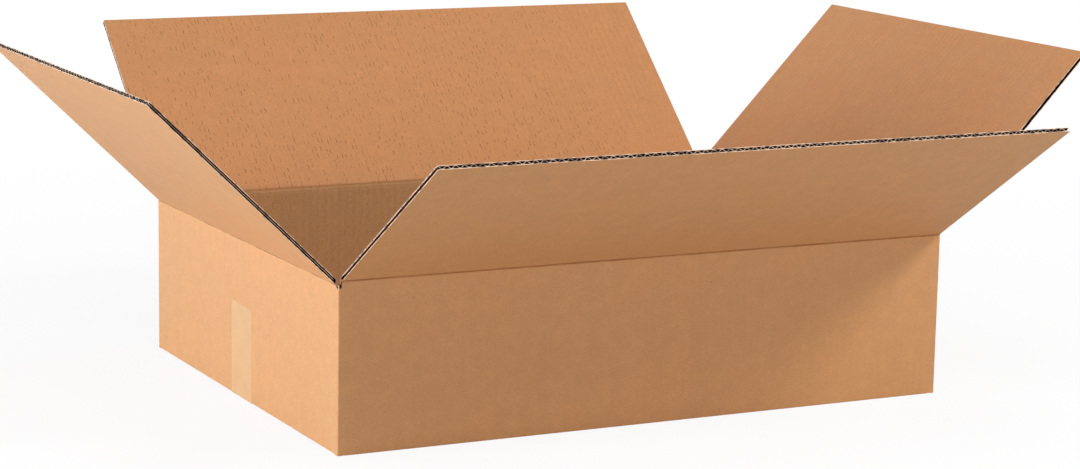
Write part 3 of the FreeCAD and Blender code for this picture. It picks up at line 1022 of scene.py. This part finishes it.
class BOX_OT_walls(bpy.types.Operator):
    """Build the four walls, the closed bottom flaps and the glued tab"""

    bl_idname = "box.walls"
    bl_label = "Walls and bottom"

    def execute(self, context):
        board = context.scene.box_board
        sheets = Sheets()
        for inner_side in (False, True):
            front, back, places, keep = wall_band(board, inner_side)
            slots = (INSIDE, FLUTE_PAINTED_SHADE, CUT) if inner_side else (OUTSIDE, FLUTE_PAINTED_SHADE, CUT)
            sheets.add(front, back, places, slots, keep)
        piece = sheets.piece("box_liners")
        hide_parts("box_body")
        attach(piece, "box")

        half_x = board.box_length / 2
        half_y = board.box_width / 2
        long_width = board.box_length - 2 * board.slot
        end_width = board.box_width - 2 * board.slot
        reach = half_y - 0.001
        parts = []
        for turn, distance, width, low, depth in (
            (0, half_y, long_width + 8 * MM, 0.0, reach),
            (180, half_y, long_width + 8 * MM, 0.0, reach),
            (-90, half_x, end_width + 4 * MM, board.step, reach + board.step),
            (90, half_x, end_width + 4 * MM, board.step, reach + board.step),
        ):
            spin = Matrix.Rotation(math.radians(turn), 4, "Z")
            wall = spin @ Matrix.Translation((0, -distance, 0))
            parts.append((width, low + 5.2 * MM, WALL_FLUTE_TOP - low, wall))
            # A bottom flap lies flat: its Z runs inwards, and its outer face looks down
            flat = spin @ Matrix.Translation((0, -distance, low))
            flat = flat @ Matrix.Rotation(math.radians(-90), 4, "X") @ Matrix.Scale(-1, 4, (0, 1, 0))
            inner_width = width - (8 * MM if distance == half_y else 4 * MM)
            parts.append((inner_width, 8.5 * MM, depth - FLUTE_SHORT, flat))
        flutes = flute_piece("box_flutes", parts)
        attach(flutes, "box")
        return {"FINISHED"}


class BOX_OT_tape(bpy.types.Operator):
    """Lay the packing tape along the bottom seam and up both end walls"""

    bl_idname = "box.tape"
    bl_label = "Bottom tape"

    def execute(self, context):
        board = context.scene.box_board
        tape = context.scene.box_tape
        half_x = board.box_length / 2
        route = [(-half_x, tape.rise), (-half_x, 40 * MM), (-half_x, 8 * MM), (-half_x, 1.6 * MM)]
        route += [(-half_x + 0.2 * MM, 0.7 * MM), (-half_x + 0.8 * MM, 0.15 * MM), (-half_x + 2.0 * MM, 0.0)]
        route += [(-half_x * 0.5, 0.0), (0.0, 0.0)]
        route += [(-x, z) for x, z in route[:-1][::-1]]
        route = np.array(route)
        normal = side_normals(route)
        across = spread(-tape.width / 2, tape.width / 2, 0.8 * MM)
        chance = np.random.default_rng(11)
        count = len(across)
        front = np.zeros((len(route), count, 3))
        back = np.zeros((len(route), count, 3))
        places = np.zeros((len(route), count, 2))
        run = np.concatenate([[0], np.cumsum(np.hypot(*np.diff(route, axis=0).T))])
        teeth = 0.35 * MM * np.where(np.arange(count) % 2, 1, -1) + chance.normal(0, 0.15 * MM, count)
        rounded = np.maximum(np.abs(across) / (tape.width / 2) - 0.84, 0.0) ** 2 * -0.16
        for row, (x, z) in enumerate(route):
            ends = row in (0, len(route) - 1)
            slant = across * 0.03 * (1 if row == 0 else -1) if ends else 0.0
            rise = (teeth + slant + rounded) if ends else 0.0
            for grid, away in ((front, tape.thickness), (back, 0.002 * MM)):
                grid[row, :, 0] = x + normal[row, 0] * away
                grid[row, :, 1] = across
                grid[row, :, 2] = z + normal[row, 1] * away + rise
            places[row, :, 0] = across
            places[row, :, 1] = run[row]
        sheets = Sheets()
        sheets.add(front, back, places, (0, 0, 0))
        piece = sheets.piece("bottom_seam_tape")
        piece.data.materials.clear()
        piece.data.materials.append(tape_film(tape))
        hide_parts("bottom_tape")
        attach(piece, "box")
        return {"FINISHED"}


def camera_matrix():
    """The fitted camera, as right, up and back columns."""
    azimuth, elevation, roll = (math.radians(angle) for angle in CAMERA_TURN)
    view = Vector((
        math.sin(azimuth) * math.cos(elevation), math.cos(azimuth) * math.cos(elevation), -math.sin(elevation)
    ))
    level_right = Vector((math.cos(azimuth), -math.sin(azimuth), 0.0))
    level_up = level_right.cross(view)
    right = level_right * math.cos(roll) + level_up * math.sin(roll)
    up = level_up * math.cos(roll) - level_right * math.sin(roll)
    matrix = Matrix((right, up, -view)).transposed().to_4x4()
    matrix.translation = Vector(CAMERA_PLACE)
    return matrix


def area_lamp(name, place, size, level):
    """A large soft lamp. level is its light at its target, where 1 shows a colour as it is written."""
    lamp = bpy.data.lights.new(name, "AREA")
    lamp.shape = "DISK"
    lamp.size = size
    away = Vector(place) - Vector(LAMP_TARGET)
    # A lamp of area A and power P gives P / (A * pi) * A / distance squared, over pi, as shown brightness
    lamp.energy = level * math.pi * math.pi * away.length_squared
    made = bpy.data.objects.new(name, lamp)
    made.location = place
    made.rotation_euler = away.to_track_quat("Z", "Y").to_euler()
    bpy.context.scene.collection.objects.link(made)
    return made


class BOX_OT_stage(bpy.types.Operator):
    """Set the pale floor, the soft lamps and the camera"""

    bl_idname = "box.stage"
    bl_label = "Stage"

    def execute(self, context):
        scene = context.scene
        stage = scene.box_stage
        camera = bpy.data.cameras.new("camera")
        camera.lens = stage.lens
        camera.sensor_width = 36.0
        camera.clip_end = 100.0
        holder = bpy.data.objects.new("camera", camera)
        holder.matrix_world = camera_matrix()
        scene.collection.objects.link(holder)
        scene.camera = holder

        for name, (place, size) in LAMPS.items():
            lamp = area_lamp("lamp_" + name, place, size, getattr(stage, name))
            if name == "key":
                lamp.data.color = stage.key_tint

        floor_mesh = bpy.data.meshes.new("floor")
        signs = ((-1, -1), (1, -1), (1, 1), (-1, 1))
        corners = [(x * FLOOR_REACH, y * FLOOR_REACH, -FLOOR_DROP) for x, y in signs]
        floor_mesh.from_pydata(corners, [], [(0, 1, 2, 3)])
        floor = link("floor", floor_mesh)
        floor.data.materials.append(floor_finish(stage))

        world = bpy.data.worlds.new("studio")
        scene.world = world
        world.use_nodes = True
        tree = world.node_tree
        tree.nodes.clear()
        path = tree.nodes.new("ShaderNodeLightPath")
        seen = Wire(tree, path.outputs["Is Camera Ray"]).most(Wire(tree, path.outputs["Is Glossy Ray"]))
        seen = seen.most(Wire(tree, path.outputs["Is Transmission Ray"]))
        background = tree.nodes.new("ShaderNodeBackground")
        connect(tree, stage.sky + (1.0 - stage.sky) * seen, background.inputs["Strength"])
        background.inputs["Color"].default_value = (1, 1, 1, 1)
        output = tree.nodes.new("ShaderNodeOutputWorld")
        tree.links.new(background.outputs[0], output.inputs["Surface"])

        scene.view_settings.view_transform = "Standard"
        return {"FINISHED"}


def floor_finish(stage):
    """White floor that keeps the shadow: the camera sees mostly plain white, with a little lit paper."""
    look = Finish("white_floor")
    place = look.node("TexCoord", None, None, "Object")
    grain = look.noise(place, 6.0, 2.0)
    tone = look.shaded(solid(stage.floor), (grain - 0.5) * 0.02 + 1.0)
    rays = look.tree.nodes.new("ShaderNodeLightPath")
    seen = Wire(look.tree, rays.outputs["Is Camera Ray"])
    lit = look.node("BsdfDiffuse", None, {"Color": look.mix(seen, tone, (0.98, 0.98, 0.98, 1.0))})
    white = look.node("Emission", None, {"Color": (1, 1, 1, 1), "Strength": 1.0})
    far = look.step(look.node("VectorMath", {"operation": "LENGTH"}, {0: place}, "Value"), 0.55, 1.5)
    mixed = look.node("MixShader", None, {0: seen * (far * 0.1 + 0.9), 1: lit, 2: white})
    look.node_output(mixed)
    return look.material


class BOX_PT_sidebar(bpy.types.Panel):
    """Sizes, colours and build buttons of the box"""

    bl_label = "Cardboard box"
    bl_idname = "BOX_PT_sidebar"
    bl_space_type = "VIEW_3D"
    bl_region_type = "UI"
    bl_category = "Box"

    def draw(self, context):
        for group in ("box_board", "box_paper", "box_tape", "box_stage"):
            settings = getattr(context.scene, group)
            column = self.layout.column()
            for key in settings.bl_rna.properties.keys():
                if key not in ("rna_type", "name"):
                    column.prop(settings, key)
        for operator in OPERATORS:
            self.layout.operator(operator.bl_idname)


OPERATORS = (BOX_OT_stage, BOX_OT_walls, BOX_OT_flaps, BOX_OT_creases, BOX_OT_tape)
SETTINGS = {"box_board": BoxBoard, "box_paper": BoxPaper, "box_tape": BoxTape, "box_stage": BoxStage}


def register():
    for kind in (*SETTINGS.values(), *OPERATORS, BOX_PT_sidebar):
        bpy.utils.register_class(kind)
    for name, kind in SETTINGS.items():
        setattr(bpy.types.Scene, name, bpy.props.PointerProperty(type=kind))


def unregister():
    for name in SETTINGS:
        delattr(bpy.types.Scene, name)
    for kind in (BOX_PT_sidebar, *OPERATORS, *SETTINGS.values()):
        bpy.utils.unregister_class(kind)


def main():
    register()
    bpy.ops.box.stage()
    bpy.ops.box.walls()
    bpy.ops.box.flaps()
    bpy.ops.box.creases()
    bpy.ops.box.tape()


if __name__ == "__main__":
    main()
